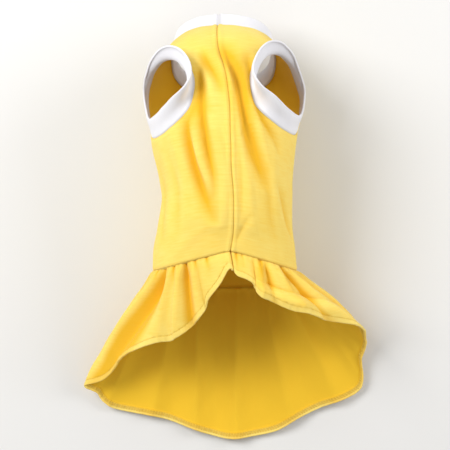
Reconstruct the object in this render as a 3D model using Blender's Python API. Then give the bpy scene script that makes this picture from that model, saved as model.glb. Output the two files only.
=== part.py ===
"""Sleeveless knitted dress for a small dog, shown worn, lying on its back.

X runs across the dress, Y towards the neck and Z out of the belly side.
The origin is at the middle of the wearer's chest and belly.
"""

import math

import bpy
import numpy as np

# Cloth and seams
JERSEY_WALL = 0.0014
RIB_WALL = 0.0022
HEM_WALL = 0.0026
SEAM_GAP = 0.0003

# Bodice: belly length from throat to waist seam, and the chest's width and depth
BODICE_LENGTH = 0.230
CHEST_WIDTH = 0.147
CHEST_DEPTH = 0.150

# Ribbed bands
COLLAR_HEIGHT = 0.020
SLEEVE_BAND_HEIGHT = 0.020

# Skirt: half width and length of the spread hem behind the waist, and its turned edge
SKIRT_SPREAD = 0.150
SKIRT_LENGTH = 0.200
HEM_DEPTH = 0.007
GATHER_COUNT = 30
GATHER_HEIGHT = 0.0020
GATHER_START = 0.012
GATHER_REACH = 0.035

# How round the loops are on the flattened back
BACK_ROUNDNESS = 0.80

# Bodice loops from the neck to the waist seam. Y values are shares of BODICE_LENGTH,
# Z values of CHEST_DEPTH, the half width and side shift of CHEST_WIDTH. Roundness is
# the belly side's, 1 for an ellipse and less for a squarer loop. Peak is how far the
# loop runs straight to a point at the belly seam, from 0 to 1.
# belly y, belly z, back y, back z, half width, side shift, roundness, peak
BODICE_LOOPS = np.array([
    (0.867, 0.027, 0.591, -0.440, 0.367, -0.010, 0.80, 0.0),
    (0.826, 0.160, 0.552, -0.467, 0.425, -0.010, 0.83, 0.0),
    (0.770, 0.273, 0.509, -0.483, 0.480, -0.008, 0.88, 0.0),
    (0.696, 0.373, 0.461, -0.493, 0.538, -0.004, 0.92, 0.0),
    (0.613, 0.447, 0.404, -0.500, 0.538, -0.004, 0.94, 0.0),
    (0.513, 0.487, 0.335, -0.500, 0.506, -0.007, 0.94, 0.0),
    (0.413, 0.497, 0.261, -0.500, 0.484, -0.007, 0.94, 0.0),
    (0.283, 0.480, 0.152, -0.500, 0.452, 0.006, 0.94, 0.1),
    (0.174, 0.457, 0.057, -0.500, 0.441, 0.014, 0.94, 0.2),
    (0.043, 0.417, -0.087, -0.500, 0.458, 0.000, 0.94, 0.4),
    (-0.035, 0.373, -0.187, -0.500, 0.480, -0.005, 0.94, 0.7),
    (-0.109, 0.333, -0.287, -0.500, 0.494, 0.000, 0.94, 1.0),
])

# The belly seam's turn at the waist, in degrees, where the waist seam comes to a point
SEAM_TURN = 3.5

# Bodice folds, each along a line. Turn is in degrees from the belly middle, right
# positive; along runs from 0 at the neck to 1 at the waist seam. Width and height
# are shares of CHEST_WIDTH, and a negative height is a crease.
# start turn, start along, end turn, end along, width, height
BODICE_FOLDS = np.array([
    (-20.0, 0.27, -13.0, 0.53, 0.030, -0.022),
    (-34.0, 0.54, -28.0, 0.66, 0.034, -0.026),
    (-28.0, 0.66, -12.0, 0.79, 0.040, -0.016),
    (-14.0, 0.47, -8.0, 0.66, 0.030, -0.018),
    (-24.0, 0.50, -18.0, 0.66, 0.030, 0.014),
    (-4.0, 0.52, -2.0, 0.72, 0.034, 0.012),
    (10.0, 0.26, 16.0, 0.52, 0.034, -0.026),
    (16.0, 0.52, 25.0, 0.70, 0.040, -0.024),
    (23.0, 0.44, 38.0, 0.57, 0.026, -0.016),
    (27.0, 0.50, 33.0, 0.68, 0.034, 0.012),
    (7.0, 0.92, 17.0, 0.85, 0.026, -0.010),
    (54.0, 0.73, 75.0, 0.83, 0.040, -0.010),
])
# Share of the bodice's length over which folds die out at the neck and waist seams
FOLD_FADE = 0.08

# Armholes on the bodice, right and left: the place and half size of an oval in
# turn and along. Roundness is 1 for an ellipse and less for a squarer oval.
# side, centre turn, centre along, half turn, half along, roundness
ARMHOLES = {
    "armhole_band_right": (59.0, 0.350, 41.0, 0.180, 0.95),
    "armhole_band_left": (-60.5, 0.370, 39.5, 0.172, 0.93),
}

# A sleeve band stands along the leg, whose direction is across, towards the neck and
# out of the belly. On its tail side it lies flatter, towards the armhole's middle.
LEG_ACROSS = 0.14
LEG_FORWARD = 0.45
LEG_OUT = 0.90
BAND_FLATNESS = 1.8

# How far the collar leans in on the neck, for each length along it
COLLAR_LEAN = 0.12

# Hem of the skirt. Turn is where on the waist the hem hangs from, in degrees.
# X is a share of SKIRT_SPREAD, Y of SKIRT_LENGTH behind the belly end of the
# waist seam, and Z of CHEST_DEPTH. Puff is how far the cloth between waist and
# hem swells outwards, as a share of its length there.
# turn, x, y, z, puff
HEM_ROWS = np.array([
    (-180.0, 0.021, -0.993, -0.49, 0.00),
    (-168.0, -0.121, -0.969, -0.49, 0.00),
    (-158.0, -0.243, -0.938, -0.49, 0.00),
    (-145.0, -0.420, -0.889, -0.49, 0.00),
    (-120.0, -0.816, -0.825, -0.49, 0.01),
    (-108.0, -0.906, -0.756, -0.455, 0.03),
    (-97.0, -0.979, -0.708, -0.39, 0.04),
    (-90.0, -0.899, -0.665, -0.30, 0.05),
    (-82.0, -0.789, -0.560, -0.17, 0.06),
    (-62.0, -0.450, -0.456, 0.07, 0.06),
    (-52.0, -0.355, -0.442, 0.13, 0.05),
    (-43.0, -0.287, -0.409, 0.19, 0.05),
    (-34.0, -0.208, -0.353, 0.24, 0.04),
    (-26.0, -0.136, -0.292, 0.28, 0.04),
    (-18.0, -0.110, -0.233, 0.30, 0.03),
    (-9.0, -0.032, -0.155, 0.33, 0.02),
    (0.0, 0.030, -0.080, 0.345, 0.00),
    (6.0, 0.080, -0.115, 0.345, 0.01),
    (12.0, 0.138, -0.132, 0.34, 0.02),
    (19.0, 0.190, -0.160, 0.33, 0.03),
    (25.0, 0.215, -0.206, 0.32, 0.04),
    (33.0, 0.297, -0.239, 0.31, 0.05),
    (44.0, 0.430, -0.285, 0.27, 0.06),
    (54.0, 0.531, -0.301, 0.23, 0.07),
    (64.0, 0.636, -0.327, 0.16, 0.07),
    (73.0, 0.743, -0.350, 0.07, 0.07),
    (82.0, 0.857, -0.377, -0.07, 0.07),
    (89.0, 0.940, -0.400, -0.18, 0.06),
    (95.0, 0.988, -0.440, -0.30, 0.06),
    (104.0, 0.995, -0.517, -0.41, 0.05),
    (112.0, 0.982, -0.610, -0.46, 0.04),
    (120.0, 0.968, -0.717, -0.485, 0.03),
    (128.0, 0.860, -0.781, -0.49, 0.02),
    (137.0, 0.680, -0.827, -0.49, 0.00),
    (147.0, 0.537, -0.878, -0.49, 0.00),
    (158.0, 0.365, -0.951, -0.49, 0.00),
    (169.0, 0.161, -0.985, -0.49, 0.00),
])

# Skirt folds. Turn and width in degrees, at the waist and at the hem, and height
# as a share of SKIRT_LENGTH.
# waist turn, hem turn, waist width, hem width, height
SKIRT_FOLDS = np.array([
    (-56.0, -80.0, 5.0, 9.0, -0.034),
    (-45.0, -62.0, 4.0, 7.0, 0.018),
    (-39.0, -50.0, 3.0, 4.0, 0.014),
    (-33.0, -36.0, 3.0, 4.0, -0.020),
    (-22.0, -27.0, 4.0, 5.0, 0.012),
    (26.0, 27.0, 3.5, 4.0, 0.018),
    (31.0, 36.0, 3.0, 4.0, -0.014),
    (48.0, 70.0, 5.0, 7.0, -0.024),
    (62.0, 88.0, 5.0, 6.0, 0.012),
    (105.0, 108.0, 5.0, 6.0, -0.020),
    (128.0, 130.0, 6.0, 6.0, 0.014),
    (152.0, 152.0, 6.0, 6.0, 0.012),
    (178.0, 178.0, 6.0, 6.0, 0.012),
    (-155.0, -154.0, 6.0, 6.0, 0.012),
    (-132.0, -130.0, 6.0, 6.0, 0.014),
    (-108.0, -108.0, 5.0, 6.0, -0.018),
])

# Share of the cloth's length in which the skirt's folds reach their full height
FOLD_RISE = 0.33

# Soft roll of the right front panel just above its hem: its middle and half width
# in turn, its place and half width as shares of the cloth's length, and its height
# as a share of SKIRT_LENGTH.
ROLL_TURN = 54.0
ROLL_TURN_WIDTH = 28.0
ROLL_PLACE = 0.80
ROLL_WIDTH = 0.16
ROLL_HEIGHT = 0.016

# Grid of each piece
BODICE_COLUMNS = 60
SHARP_EDGE = 50.0
BODICE_ROWS = 22
ARMHOLE_RINGS = 2
ARMHOLE_MARGIN = 1.28
BAND_ROWS = 2
SKIRT_COLUMNS = 2 * BODICE_COLUMNS
SKIRT_STEPS = (0.0, 0.09, 0.2, 0.36, 0.56, 0.78, 0.985, 1.0)
BELLY_CROWDING = 0.35

YELLOW = (0.93, 0.62, 0.06, 1.0)
WHITE = (0.86, 0.86, 0.90, 1.0)


def clear_scene():
    for thing in list(bpy.data.objects):
        bpy.data.objects.remove(thing, do_unlink=True)


def material(name, colour, roughness):
    made = bpy.data.materials.new(name)
    made.use_nodes = True
    shader = made.node_tree.nodes["Principled BSDF"]
    shader.inputs["Base Color"].default_value = colour
    shader.inputs["Roughness"].default_value = roughness
    shader.inputs["Metallic"].default_value = 0.0
    return made


def unit(vectors):
    lengths = np.linalg.norm(vectors, axis=-1, keepdims=True)
    return vectors / np.maximum(lengths, 1e-12)


def smooth_rows(rows, where):
    """Catmull-Rom curve through the rows of a table, for where from 0 to 1."""
    last = len(rows) - 1
    spot = np.clip(where, 0.0, 1.0) * last
    low = np.minimum(spot.astype(int), last - 1)
    part = (spot - low)[..., None]
    before = rows[np.maximum(low - 1, 0)]
    start = rows[low]
    end = rows[low + 1]
    after = rows[np.minimum(low + 2, last)]
    curve = 2.0 * start + (end - before) * part
    curve = curve + (2.0 * before - 5.0 * start + 4.0 * end - after) * part ** 2
    curve = curve + (3.0 * start - before - 3.0 * end + after) * part ** 3
    return 0.5 * curve


def round_rows(rows, turn):
    """Smooth closed curve through rows keyed by turn in degrees, columns 1 onward."""
    keys = rows[:, 0]
    wrapped = (np.degrees(turn) - keys[0]) % 360.0 + keys[0]
    count = len(keys)
    edges = np.append(keys, keys[0] + 360.0)
    low = np.clip(np.searchsorted(edges, wrapped, side="right") - 1, 0, count - 1)
    part = ((wrapped - edges[low]) / (edges[low + 1] - edges[low]))[..., None]
    values = rows[:, 1:]
    before = values[(low - 1) % count]
    start = values[low]
    end = values[(low + 1) % count]
    after = values[(low + 2) % count]
    gap = np.append(np.diff(edges), edges[1] - edges[0])
    here = gap[low][..., None]
    prior = gap[(low - 1) % count][..., None]
    following = gap[(low + 1) % count][..., None]
    leave = (end - before) * here / (here + prior)
    arrive = (after - start) * here / (here + following)
    square = part ** 2
    cube = part ** 3
    curve = (2.0 * cube - 3.0 * square + 1.0) * start + (3.0 * square - 2.0 * cube) * end
    return curve + (cube - 2.0 * square + part) * leave + (cube - square) * arrive


def bodice_loop(turn, along):
    """Point on the smooth body of the bodice: a rounded loop between belly and back line."""
    row = smooth_rows(BODICE_LOOPS, along)
    belly = np.stack([row[..., 0] * BODICE_LENGTH, row[..., 1] * CHEST_DEPTH], axis=-1)
    back = np.stack([row[..., 2] * BODICE_LENGTH, row[..., 3] * CHEST_DEPTH], axis=-1)
    middle = (belly + back) / 2.0
    reach = (belly - back) / 2.0
    cosine = np.cos(turn)
    sine = np.sin(turn)
    power = np.where(cosine > 0.0, row[..., 6], BACK_ROUNDNESS)
    up = np.sign(cosine) * np.abs(cosine) ** power
    side = np.sign(sine) * np.abs(sine) ** power
    across = (row[..., 5] + row[..., 4] * side) * CHEST_WIDTH
    from_seam = np.abs(np.sin(turn - math.radians(SEAM_TURN) * cosine))
    straight = np.where(cosine > 0.0, 1.0 - from_seam, up)
    forward = up + (straight - up) * row[..., 7]
    return np.stack([across, middle[..., 0] + reach[..., 0] * forward,
                     middle[..., 1] + reach[..., 1] * up], axis=-1)


def line_distance(turn, along, fold):
    """Distance in metres from a fold's line, on the unrolled bodice."""
    girth = CHEST_WIDTH / 2.0
    start = np.array([math.radians(fold[0]) * girth, fold[1] * BODICE_LENGTH])
    end = np.array([math.radians(fold[2]) * girth, fold[3] * BODICE_LENGTH])
    wrapped = (turn + math.pi) % (2.0 * math.pi) - math.pi
    spot = np.stack([wrapped * girth, along * BODICE_LENGTH], axis=-1)
    run = end - start
    share = np.clip(((spot - start) @ run) / (run @ run), 0.0, 1.0)
    return np.linalg.norm(spot - start - share[..., None] * run, axis=-1)


def bodice_relief(turn, along):
    """Height of all folds together, each a bell across its line, none at the seams."""
    total = np.zeros(np.shape(turn))
    for fold in BODICE_FOLDS:
        away = line_distance(turn, along, fold)
        width = fold[4] * CHEST_WIDTH
        total = total + fold[5] * CHEST_WIDTH * np.exp(-(away / width) ** 2)
    from_ends = np.minimum(along, 1.0 - along)
    return total * np.clip(from_ends / FOLD_FADE, 0.0, 1.0)


def frame_at(surface, turn, along):
    """Outward normal and the two tangents of a surface, by small steps."""
    step = 1e-4
    around = surface(turn + step, along) - surface(turn - step, along)
    high = np.clip(along + step, 0.0, 1.0)
    low = np.clip(along - step, 0.0, 1.0)
    down = surface(turn, high) - surface(turn, low)
    return unit(np.cross(down, around)), unit(around), unit(down)


def bodice_surface(turn, along):
    normal, _, _ = frame_at(bodice_loop, turn, along)
    return bodice_loop(turn, along) + normal * bodice_relief(turn, along)[..., None]


def armhole_edge(oval, angle):
    """Turn and along of the armhole's edge at an angle round its oval."""
    centre_turn, centre_along, half_turn, half_along, roundness = oval
    wide = np.sign(np.cos(angle)) * np.abs(np.cos(angle)) ** roundness
    high = np.sign(np.sin(angle)) * np.abs(np.sin(angle)) ** roundness
    turn = math.radians(centre_turn) + math.radians(half_turn) * wide
    along = centre_along + half_along * high
    return turn, along


def thicken(name, points, normals, faces, wall, finish):
    """One closed solid: the sheet's two sides and a rim along each open edge."""
    half = np.broadcast_to(np.asarray(wall) / 2.0, points.shape[:-1])[..., None]
    outer = points + normals * half
    inner = points - normals * half
    count = len(points)
    whole = [tuple(face) for face in faces]
    used = {}
    for face in faces:
        for first, second in zip(face, np.roll(face, -1)):
            used[(int(first), int(second))] = True
    rim = []
    for first, second in used:
        if (second, first) not in used:
            rim.append((second, first, first + count, second + count))
    back = [tuple(int(spot) + count for spot in reversed(face)) for face in faces]
    mesh = bpy.data.meshes.new(name)
    mesh.from_pydata(np.concatenate([outer, inner]).tolist(), [], whole + back + rim)
    mesh.validate()
    mesh.shade_smooth()
    mesh.set_sharp_from_angle(angle=math.radians(SHARP_EDGE))
    mesh.materials.append(finish)
    made = bpy.data.objects.new(name, mesh)
    bpy.context.scene.collection.objects.link(made)
    return made


def grid_faces(columns, rows):
    """Quads of a grid that closes round its columns; rows run away from the start."""
    column = np.arange(columns)
    following = (column + 1) % columns
    faces = []
    for row in range(rows - 1):
        here = row * columns
        faces.append(np.stack([column + here, column + here + columns,
                               following + here + columns, following + here], axis=1))
    return np.concatenate(faces)


def belly_turns(columns):
    """Turns round the body, closer together on the belly side."""
    even = np.arange(columns) * 2.0 * math.pi / columns
    return even - BELLY_CROWDING * np.sin(even)


def body_grid():
    """Turn and along of the bodice's grid corners, before the armholes are cut."""
    turns = belly_turns(BODICE_COLUMNS)
    turns = (turns + math.pi) % (2.0 * math.pi) - math.pi
    return turns, np.linspace(0.0, 1.0, BODICE_ROWS)


def armhole_block(oval):
    """Columns and rows of the grid block round an armhole, and its border corners."""
    turns, rows = body_grid()
    middle = math.radians(oval[0])
    columns = np.where(np.abs(turns - middle) <= math.radians(oval[2]) * ARMHOLE_MARGIN)[0]
    columns = columns[np.argsort(turns[columns])]
    spans = np.where(np.abs(rows - oval[1]) <= oval[3] * ARMHOLE_MARGIN)[0]
    border = [(column, spans[0]) for column in columns]
    border = border + [(columns[-1], row) for row in spans[1:]]
    border = border + [(column, spans[-1]) for column in columns[-2::-1]]
    border = border + [(columns[0], row) for row in spans[-2:0:-1]]
    return columns, spans, np.array(border)


def armhole_angles(oval):
    """Angles round the oval at which the bodice's mesh has its corners."""
    turns, rows = body_grid()
    _, _, border = armhole_block(oval)
    wide = (turns[border[:, 0]] - math.radians(oval[0])) / math.radians(oval[2])
    high = (rows[border[:, 1]] - oval[1]) / oval[3]
    return np.arctan2(high, wide)


def armhole_rings(oval, turn, along):
    """Rings of quads that lead from the border of the block to the armhole's edge."""
    _, _, border = armhole_block(oval)
    outer = border[:, 1] * BODICE_COLUMNS + border[:, 0]
    to_turn, to_along = armhole_edge(oval, armhole_angles(oval))
    from_turn = turn[outer]
    from_along = along[outer]
    ring = outer
    quads = []
    for step in range(1, ARMHOLE_RINGS + 1):
        share = step / ARMHOLE_RINGS
        fresh = len(turn) + np.arange(len(outer))
        turn = np.append(turn, from_turn + (to_turn - from_turn) * share)
        along = np.append(along, from_along + (to_along - from_along) * share)
        quads.append(np.stack([ring, fresh, np.roll(fresh, -1), np.roll(ring, -1)], axis=1))
        ring = fresh
    return turn, along, np.concatenate(quads)


def make_bodice(finish):
    """Tube from neck to waist with a block of its grid opened for each armhole."""
    turns, rows = body_grid()
    turn = np.tile(turns, BODICE_ROWS)
    along = np.repeat(rows, BODICE_COLUMNS)
    opened = np.zeros((BODICE_ROWS - 1, BODICE_COLUMNS), dtype=bool)
    for oval in ARMHOLES.values():
        columns, spans, _ = armhole_block(oval)
        opened[np.ix_(spans[:-1], columns[:-1])] = True
    faces = [grid_faces(BODICE_COLUMNS, BODICE_ROWS)[~opened.ravel()]]
    for oval in ARMHOLES.values():
        turn, along, quads = armhole_rings(oval, turn, along)
        faces.append(quads)
    points = bodice_surface(turn, along)
    normals, _, _ = frame_at(bodice_surface, turn, along)
    return thicken("bodice", points, normals, np.concatenate(faces), JERSEY_WALL, finish)


def make_sleeve_band(name, oval, finish):
    """Ribbed band that stands on the armhole's edge, along the leg."""
    angle = armhole_angles(oval)
    turn, along = armhole_edge(oval, angle)
    normal, _, _ = frame_at(bodice_surface, turn, along)
    edge = bodice_surface(turn, along)
    run = unit(np.roll(edge, -1, axis=0) - np.roll(edge, 1, axis=0))
    inward = unit(np.cross(run, normal))
    leg = unit(np.array([math.copysign(LEG_ACROSS, oval[0]), LEG_FORWARD, LEG_OUT]))
    tail = np.maximum(np.sin(angle), 0.0)[:, None]
    lean = unit(leg + BAND_FLATNESS * tail ** 2 * inward)
    rows = []
    walls = []
    for row in range(BAND_ROWS + 1):
        share = row / BAND_ROWS
        turned = math.sin(share * math.pi / 2.0)
        heading = unit(inward * (1.0 - turned) + lean * turned)
        rows.append(edge + inward * SEAM_GAP + heading * SLEEVE_BAND_HEIGHT * share)
        walls.append(unit(np.cross(heading, run)))
    walls[0] = normal
    faces = grid_faces(len(angle), BAND_ROWS + 1)
    return thicken(name, np.concatenate(rows), np.concatenate(walls), faces, RIB_WALL, finish)


def make_collar(finish):
    """Ribbed band that carries the bodice's neck edge on towards the head."""
    turns = belly_turns(BODICE_COLUMNS)
    start = np.zeros(BODICE_COLUMNS)
    edge = bodice_surface(turns, start)
    normal, _, down = frame_at(bodice_surface, turns, start)
    middle = edge.mean(axis=0)
    belly = bodice_loop(np.array(0.0), np.array(0.0))
    back = bodice_loop(np.array(math.pi), np.array(0.0))
    axis = unit(np.cross(np.array([1.0, 0.0, 0.0]), belly - back))
    axis = axis * math.copysign(1.0, axis[1])
    outward = unit((edge - middle) - ((edge - middle) @ axis)[:, None] * axis)
    rows = []
    walls = []
    for row in range(BAND_ROWS + 1):
        share = row / BAND_ROWS
        heading = unit(-down * (1.0 - share) + (axis - COLLAR_LEAN * outward) * share)
        rows.append(edge - down * SEAM_GAP + heading * COLLAR_HEIGHT * share)
        walls.append(unit(normal * (1.0 - share) + outward * share))
    faces = grid_faces(BODICE_COLUMNS, BAND_ROWS + 1)[:, ::-1]
    return thicken("collar_band", np.concatenate(rows), np.concatenate(walls), faces,
                   RIB_WALL, finish)


def waist_edge(turn):
    """Point, outward normal and downward direction on the bodice's waist edge.

    The edge runs straight between the corners of the bodice's mesh.
    """
    corners, _ = body_grid()
    end = np.ones(len(corners))
    normal, _, down = frame_at(bodice_surface, corners, end)
    table = np.concatenate([bodice_surface(corners, end), normal, down], axis=1)
    columns = [np.interp(turn, corners, column, period=2.0 * math.pi) for column in table.T]
    found = np.stack(columns, axis=-1)
    return found[..., 0:3], unit(found[..., 3:6]), unit(found[..., 6:9])


def hem_point(turn):
    row = round_rows(HEM_ROWS, turn)
    waist_y = BODICE_LOOPS[-1, 0] * BODICE_LENGTH
    return np.stack([row[..., 0] * SKIRT_SPREAD, waist_y + row[..., 1] * SKIRT_LENGTH,
                     row[..., 2] * CHEST_DEPTH], axis=-1), row[..., 3]


def skirt_surface(turn, share):
    """From the waist seam to the hem, swelling outwards, with gathers and folds."""
    waist, normal, down = waist_edge(turn)
    waist = waist + down * SEAM_GAP
    hem, puff = hem_point(turn)
    length = np.linalg.norm(hem - waist, axis=-1)
    swell = np.sin(math.pi * share) * puff * length
    points = waist + (hem - waist) * share[..., None] + normal * swell[..., None]
    degrees = (np.degrees(turn) + 180.0) % 360.0 - 180.0
    relief = np.zeros(np.shape(turn))
    rise = np.sin(np.minimum(share / FOLD_RISE, 1.0) * math.pi / 2.0)
    for fold in SKIRT_FOLDS:
        line = fold[0] + (fold[1] - fold[0]) * share
        width = fold[2] + (fold[3] - fold[2]) * share
        away = (degrees - line + 180.0) % 360.0 - 180.0
        relief = relief + fold[4] * SKIRT_LENGTH * rise * np.exp(-(away / width) ** 2)
    roll = np.exp(-((degrees - ROLL_TURN) / ROLL_TURN_WIDTH) ** 4)
    roll = roll * np.exp(-((share - ROLL_PLACE) / ROLL_WIDTH) ** 2)
    relief = relief + ROLL_HEIGHT * SKIRT_LENGTH * roll
    run = share * length
    near = np.clip(run / GATHER_START, 0.0, 1.0) * np.exp(-run / GATHER_REACH)
    relief = relief + GATHER_HEIGHT * near * np.cos(GATHER_COUNT * turn)
    return points + normal * relief[..., None]


def make_skirt(finish):
    turns = belly_turns(SKIRT_COLUMNS)
    start = skirt_surface(turns, np.zeros(SKIRT_COLUMNS))
    end = skirt_surface(turns, np.ones(SKIRT_COLUMNS))
    length = np.linalg.norm(end - start, axis=1)
    fold_line = 1.0 - HEM_DEPTH / length
    shares = [fold_line * step for step in SKIRT_STEPS] + [np.ones(SKIRT_COLUMNS)]
    share = np.concatenate(shares)
    turn = np.tile(turns, len(shares))
    points = skirt_surface(turn, share)
    normals = sheet_normals(points.reshape(len(shares), SKIRT_COLUMNS, 3))
    _, normals[0], _ = waist_edge(turns)
    wall = np.full((len(shares), SKIRT_COLUMNS), JERSEY_WALL)
    wall[-2:] = HEM_WALL
    faces = grid_faces(SKIRT_COLUMNS, len(shares))
    return thicken("skirt", points, normals.reshape(-1, 3), faces, wall.ravel(), finish)


def sheet_normals(grid):
    """Outward normals of a grid that closes round its columns."""
    around = np.roll(grid, -1, axis=1) - np.roll(grid, 1, axis=1)
    down = np.gradient(grid, axis=0)
    return unit(np.cross(unit(down), unit(around)))


def make_dress():
    clear_scene()
    yellow = material("yellow_jersey", YELLOW, 0.85)
    white = material("white_rib", WHITE, 0.80)
    make_bodice(yellow)
    make_collar(white)
    for name, oval in ARMHOLES.items():
        make_sleeve_band(name, oval, white)
    make_skirt(yellow)


make_dress()
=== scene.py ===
import math

import bpy
import numpy as np
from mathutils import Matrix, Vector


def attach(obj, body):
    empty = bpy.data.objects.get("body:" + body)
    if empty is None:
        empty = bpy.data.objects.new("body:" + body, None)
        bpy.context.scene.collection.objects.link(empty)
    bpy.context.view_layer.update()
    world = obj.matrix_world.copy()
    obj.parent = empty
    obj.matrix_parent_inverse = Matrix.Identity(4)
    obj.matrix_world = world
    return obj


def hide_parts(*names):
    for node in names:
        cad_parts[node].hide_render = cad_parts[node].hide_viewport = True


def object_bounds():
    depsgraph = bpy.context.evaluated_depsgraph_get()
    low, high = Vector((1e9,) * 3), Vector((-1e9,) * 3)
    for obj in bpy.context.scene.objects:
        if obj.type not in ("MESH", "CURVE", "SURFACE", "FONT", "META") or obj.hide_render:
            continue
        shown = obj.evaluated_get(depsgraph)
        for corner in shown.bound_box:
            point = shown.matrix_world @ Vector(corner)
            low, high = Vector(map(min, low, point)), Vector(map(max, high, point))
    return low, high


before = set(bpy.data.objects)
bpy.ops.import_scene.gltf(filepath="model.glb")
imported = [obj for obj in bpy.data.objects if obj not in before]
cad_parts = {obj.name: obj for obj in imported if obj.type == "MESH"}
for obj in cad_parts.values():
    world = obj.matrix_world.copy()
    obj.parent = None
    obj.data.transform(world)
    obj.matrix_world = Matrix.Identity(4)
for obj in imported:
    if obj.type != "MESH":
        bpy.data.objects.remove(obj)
cad_low, cad_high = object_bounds()

# The floor, the light and the camera. The dress lies on its back on a pale sheet, lit
# by a soft lamp from the upper left and a weaker one from the right, and is looked at
# from straight above. X, Y and Z are in metres, with Y up in the picture.
CAMERA_HEIGHT = 1.4
PICTURE_WIDTH = 0.450
SENSOR = 36.0
FLOOR_DROP = 0.0012
FLOOR_SIZE = 6.0
FLOOR_COLOUR = (0.74, 0.74, 0.74, 1.0)
SKY_COLOUR = (1.0, 0.99, 0.97, 1.0)
SKY_STRENGTH = 0.46
# name, place, size across, power in watts, colour
LAMPS = (
    ("window_lamp", (-1.00, 0.55, 1.12), 0.8, 22.5, (1.0, 0.99, 0.965)),
    ("right_lamp", (1.15, 0.40, 0.70), 0.8, 10.0, (1.0, 0.99, 0.97)),
)

scene = bpy.context.scene
scene.view_settings.view_transform = "Standard"

camera_data = bpy.data.cameras.new("camera")
camera_data.sensor_width = SENSOR
camera_data.lens = SENSOR * CAMERA_HEIGHT / PICTURE_WIDTH
camera = bpy.data.objects.new("camera", camera_data)
camera.location = (0.0, 0.0, CAMERA_HEIGHT)
scene.collection.objects.link(camera)
scene.camera = camera

world = bpy.data.worlds.new("studio")
world.use_nodes = True
sky = world.node_tree.nodes["Background"]
sky.inputs["Color"].default_value = SKY_COLOUR
sky.inputs["Strength"].default_value = SKY_STRENGTH
scene.world = world

for name, place, size, power, colour in LAMPS:
    lamp_data = bpy.data.lights.new(name, "AREA")
    lamp_data.size = size
    lamp_data.energy = power
    lamp_data.color = colour
    lamp = bpy.data.objects.new(name, lamp_data)
    lamp.location = place
    aim = -np.array(place)
    lamp.rotation_euler = (math.atan2(math.hypot(aim[0], aim[1]), -aim[2]), 0.0,
                           math.atan2(aim[1], aim[0]) - math.pi / 2.0)
    scene.collection.objects.link(lamp)


def plain_material(name, colour, roughness):
    """Material of one colour, for the floor and as the start of each cloth."""
    made = bpy.data.materials.new(name)
    made.use_nodes = True
    shader = made.node_tree.nodes["Principled BSDF"]
    shader.inputs["Base Color"].default_value = colour
    shader.inputs["Roughness"].default_value = roughness
    return made


floor_height = cad_low[2] - FLOOR_DROP
half_floor = FLOOR_SIZE / 2.0
floor_mesh = bpy.data.meshes.new("floor")
floor_mesh.from_pydata([(-half_floor, -half_floor, floor_height), (half_floor, -half_floor, floor_height),
                        (half_floor, half_floor, floor_height), (-half_floor, half_floor, floor_height)],
                       [], [(0, 1, 2, 3)])
floor = bpy.data.objects.new("floor", floor_mesh)
floor_mesh.materials.append(plain_material("floor_paper", FLOOR_COLOUR, 0.75))
scene.collection.objects.link(floor)

# Bodice: a tube of single jersey from neck to waist, cut in one piece and closed by one
# seam down the belly, stretched smooth over the chest, with soft folds that run down
# from between the armholes, which are cut out of the tube.
BODICE_LENGTH = 0.230
CHEST_WIDTH = 0.147
CHEST_DEPTH = 0.150
JERSEY_WALL = 0.0012
BACK_ROUNDNESS = 0.80
# belly y, belly z, back y, back z, half width, side shift, roundness, peak
BODICE_LOOPS = np.array([
    (0.867, 0.027, 0.591, -0.440, 0.367, -0.010, 0.80, 0.0),
    (0.826, 0.160, 0.552, -0.467, 0.425, -0.010, 0.83, 0.0),
    (0.770, 0.273, 0.509, -0.483, 0.480, -0.008, 0.88, 0.0),
    (0.696, 0.373, 0.461, -0.493, 0.538, -0.004, 0.92, 0.0),
    (0.613, 0.447, 0.404, -0.500, 0.538, -0.004, 0.94, 0.0),
    (0.513, 0.487, 0.335, -0.500, 0.506, -0.007, 0.94, 0.0),
    (0.413, 0.497, 0.261, -0.500, 0.484, -0.007, 0.94, 0.0),
    (0.283, 0.480, 0.152, -0.500, 0.452, 0.006, 0.94, 0.1),
    (0.174, 0.457, 0.057, -0.500, 0.441, 0.014, 0.94, 0.2),
    (0.043, 0.417, -0.087, -0.500, 0.458, 0.000, 0.94, 0.4),
    (-0.035, 0.373, -0.187, -0.500, 0.480, -0.005, 0.94, 0.7),
    (-0.109, 0.333, -0.287, -0.500, 0.494, 0.000, 0.94, 1.0),
])
WAIST_PEAK_TURN = 3.5
# Turn of the belly seam in degrees at even steps from neck to waist
SEAM_WANDER = np.array([(-3.7,), (-3.6,), (-3.2,), (-0.4,), (2.2,), (4.0,), (3.9,), (3.3,), (6.0,),
                        (6.2,), (3.5,)])
SEAM_GROOVE = 0.0010
SEAM_GROOVE_WIDTH = 0.00070
SEAM_RIDGE = 0.0010
SEAM_RIDGE_PLACE = 0.0026
SEAM_RIDGE_WIDTH = 0.0017
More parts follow.
